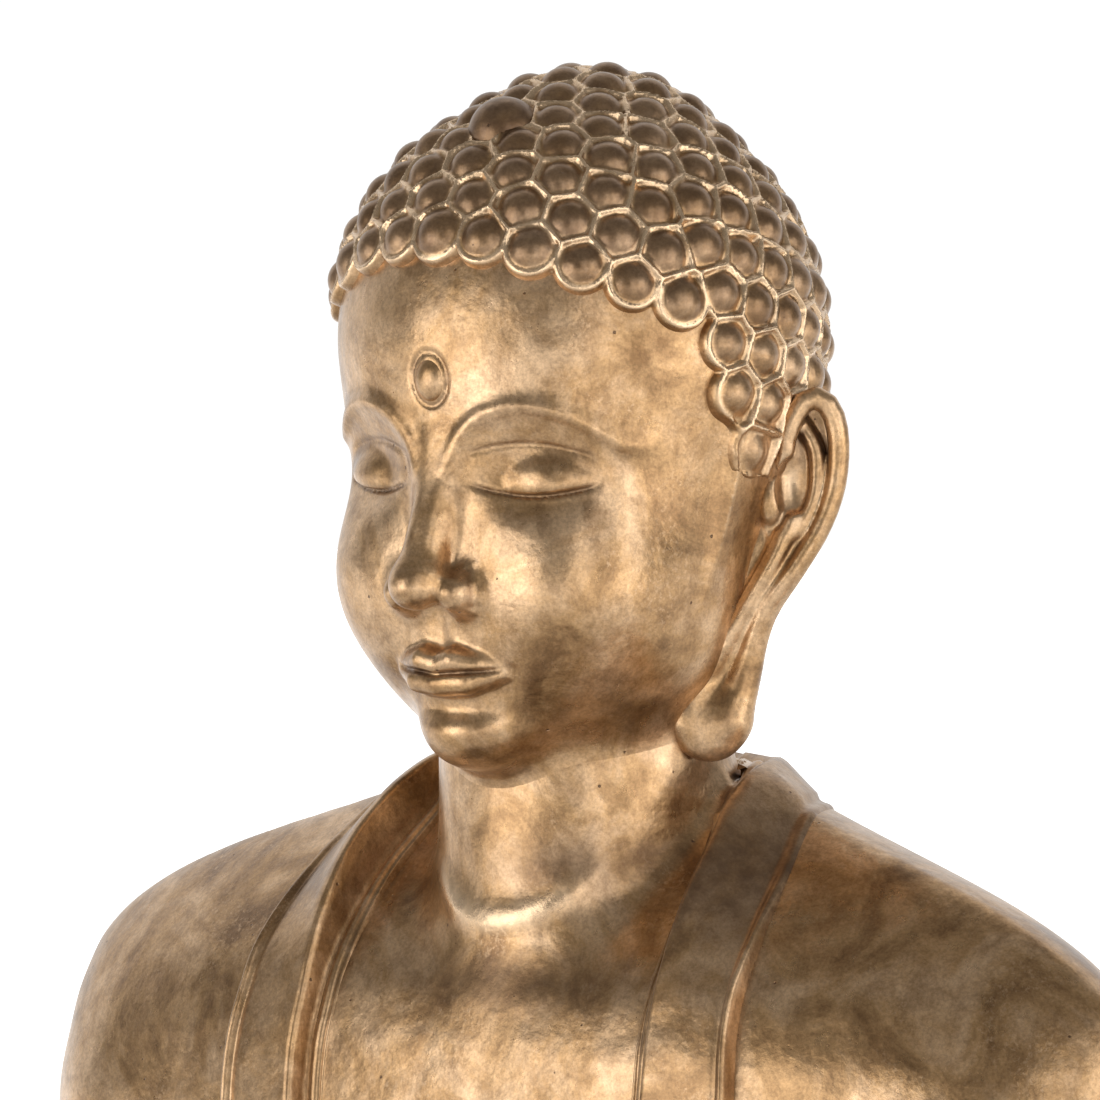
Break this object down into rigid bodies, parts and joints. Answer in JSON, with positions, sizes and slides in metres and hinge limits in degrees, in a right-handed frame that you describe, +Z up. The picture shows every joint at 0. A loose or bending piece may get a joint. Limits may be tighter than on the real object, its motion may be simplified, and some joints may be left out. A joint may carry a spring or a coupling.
{
  "type": "seated meditating figure",
  "caption": "Hollow cast brass figure seated cross-legged, with snail-curl hair, long ears, an open robe with collar bands, folded hands and a felted base",
  "frame": {"origin": "middle of the base on the table, under the figure", "axes": "+Z up, the figure faces -Y, its left hand is on +X"},
  "size_m": [0.47, 0.33, 0.6015],
  "materials": {
    "bronze": "satin cast with mottled brown-gold patina",
    "dark_bronze": "satin cast with darker brown patina",
    "steel": "zinc plated",
    "felt": "pressed felt"
  },
  "bodies": {
    "root": {"head_shell": "bronze", "left_ear": "bronze", "right_ear": "bronze", "urna": "bronze", "hair_cap": "dark_bronze", "hair_curls": "dark_bronze", "crown_mound": "dark_bronze", "crown_curls": "dark_bronze", "hair_jewel": "dark_bronze", "neck_sleeve": "steel", "chest_shell": "bronze", "robe_left": "bronze", "robe_right": "bronze", "collar_left": "bronze", "collar_right": "bronze", "sleeve_left": "bronze", "sleeve_right": "bronze", "left_hand": "bronze", "right_hand": "bronze", "lap_shell": "bronze", "right_foot": "bronze", "tie_rod": "steel", "rod_nuts": "steel", "rod_washers": "steel", "crown_bar": "steel", "waist_bar": "steel", "bar_screws": "steel", "base_plate": "steel", "base_lugs": "bronze", "base_screws": "steel", "base_felt": "felt"}
  },
  "joints": []
}
